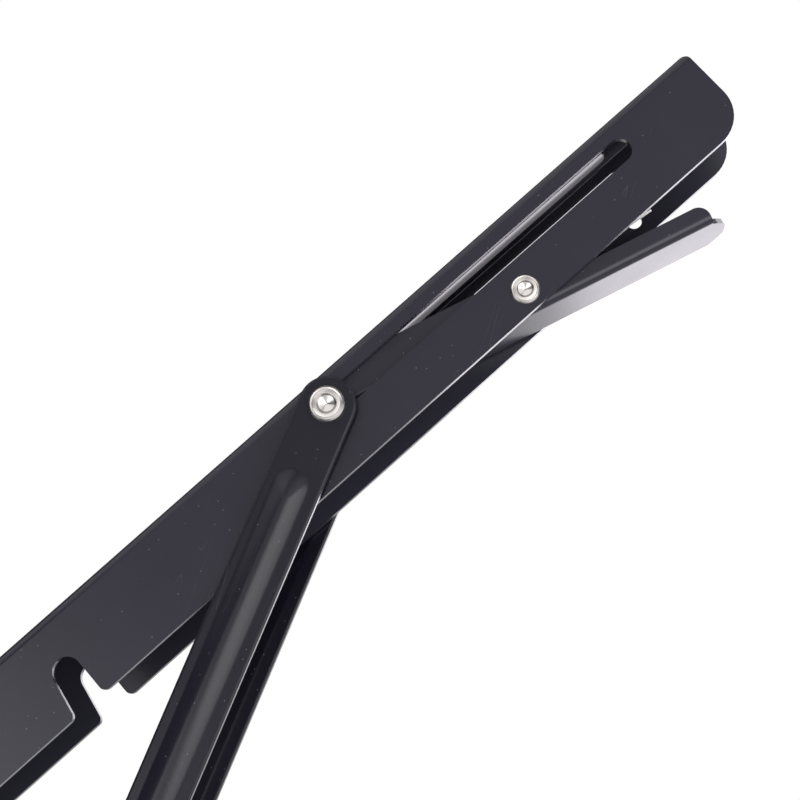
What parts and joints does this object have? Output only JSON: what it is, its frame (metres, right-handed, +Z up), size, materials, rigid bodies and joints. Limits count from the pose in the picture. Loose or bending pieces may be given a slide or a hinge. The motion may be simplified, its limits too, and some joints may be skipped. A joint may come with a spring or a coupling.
{
  "type": "folding table bracket",
  "caption": "Folding bracket for a drop leaf: a wall channel and an arm channel on one pivot, propped by ribbed struts that slide in slots and lock behind a squeeze lever.",
  "frame": {"origin": "on the wall plane, midway across the width, level with the arm's pivot", "axes": "+X out from the wall along the open arm, +Z up, Y across the width; the arm is open and locked"},
  "size_m": [0.3227, 0.0408, 0.1428],
  "materials": {
    "coated_sheet": "satin black coating",
    "plated_rivet": "bright nickel plate",
    "plain_steel": "bright"
  },
  "bodies": {
    "wall_bracket": {"wall_bracket": "coated_sheet", "arm_pivot_rivet": "plated_rivet", "arm_pivot_sleeve": "plain_steel", "lower_rivet_shaft": "plated_rivet", "lower_spacer_left": "plated_rivet", "lower_spacer_right": "plated_rivet", "lower_pivot_sleeve": "plain_steel"},
    "arm": {"arm": "coated_sheet", "lever_rivet": "plated_rivet", "lever_sleeve": "plain_steel", "lever_spring": "plain_steel"},
    "slider": {"slot_rivet": "plated_rivet", "slot_washer_left": "plated_rivet", "slot_washer_right": "plated_rivet"},
    "strut": {"strut_left": "coated_sheet", "strut_right": "coated_sheet", "lower_rivet_left_end": "plated_rivet", "lower_rivet_right_end": "plated_rivet"},
    "lever": {"release_lever": "coated_sheet"}
  },
  "joints": [
    {"name": "arm_fold", "type": "hinge", "parent": "wall_bracket", "child": "arm", "pos_m": [0.0145, 0, 0], "axis": [0, 1, 0], "range_deg": [0, 90]},
    {"name": "pin_slide", "type": "slide", "parent": "arm", "child": "slider", "axis": [1, 0, 0], "range_m": [0, 0.0978]},
    {"name": "strut_swing", "type": "hinge", "parent": "slider", "child": "strut", "pos_m": [0.189, 0, 0.0068], "axis": [0, 1, 0], "range_deg": [0, 23.97]},
    {"name": "lever_release", "type": "hinge", "parent": "arm", "child": "lever", "pos_m": [0.24795, 0, -0.00445], "axis": [0, -1, 0], "range_deg": [0, 15], "stiffness_Nm_per_rad": 0.5, "springref_deg": -34.38, "deforming": ["lever_spring"]}
  ],
  "couplings": [
    {"joint": "pin_slide", "follows": "arm_fold", "m_per_rad": 0.062186},
    {"joint": "strut_swing", "follows": "arm_fold", "ratio": 0.26626}
  ]
}
